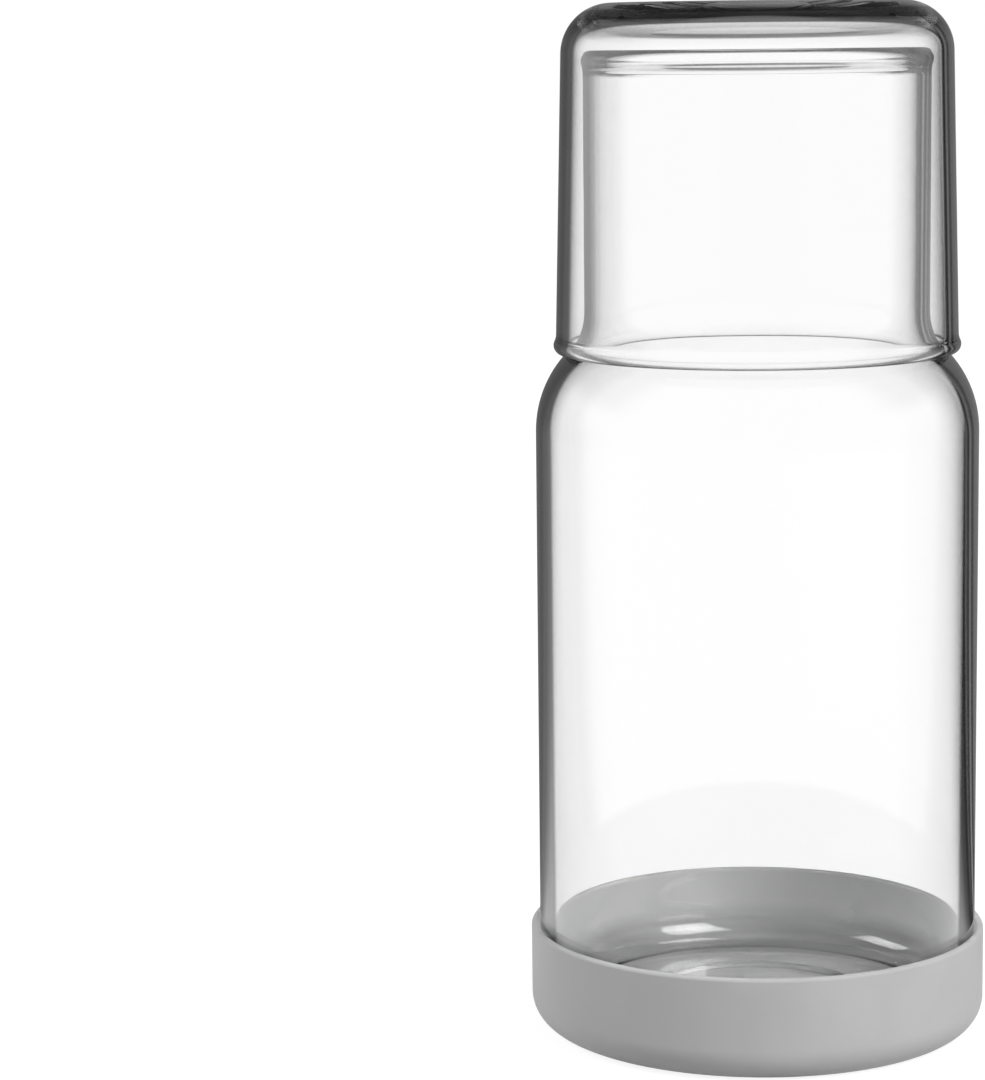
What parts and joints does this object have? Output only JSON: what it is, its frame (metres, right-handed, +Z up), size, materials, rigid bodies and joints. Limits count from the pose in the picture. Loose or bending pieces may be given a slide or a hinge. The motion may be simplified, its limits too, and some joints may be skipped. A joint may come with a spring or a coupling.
{
  "type": "bedside carafe with tumbler",
  "caption": "Straight-sided clear glass water carafe with a rounded shoulder and neck, a glass tumbler turned over the neck as its lid, and a grey silicone base sleeve.",
  "frame": {"origin": "centre of the sleeve's underside, on the surface that the part stands on", "axes": "+Z up along the common axis of the sleeve, the carafe and the tumbler; the part is round, so X and Y are free, and the picture looks along +Y"},
  "size_m": [0.079, 0.079, 0.1776],
  "materials": {
    "silicone": "matt grey moulded silicone",
    "clear_glass": "clear blown borosilicate glass with fire-polished edges"
  },
  "bodies": {
    "base_sleeve": {"base_sleeve": "silicone"},
    "carafe": {"carafe": "clear_glass"},
    "tumbler": {"tumbler": "clear_glass"}
  },
  "joints": [
    {"name": "carafe_lift", "type": "slide", "parent": "base_sleeve", "child": "carafe", "axis": [0, 0, 1], "range_m": [0, 0.04]},
    {"name": "tumbler_lift", "type": "slide", "parent": "carafe", "child": "tumbler", "axis": [0, 0, 1], "range_m": [0, 0.12]}
  ]
}
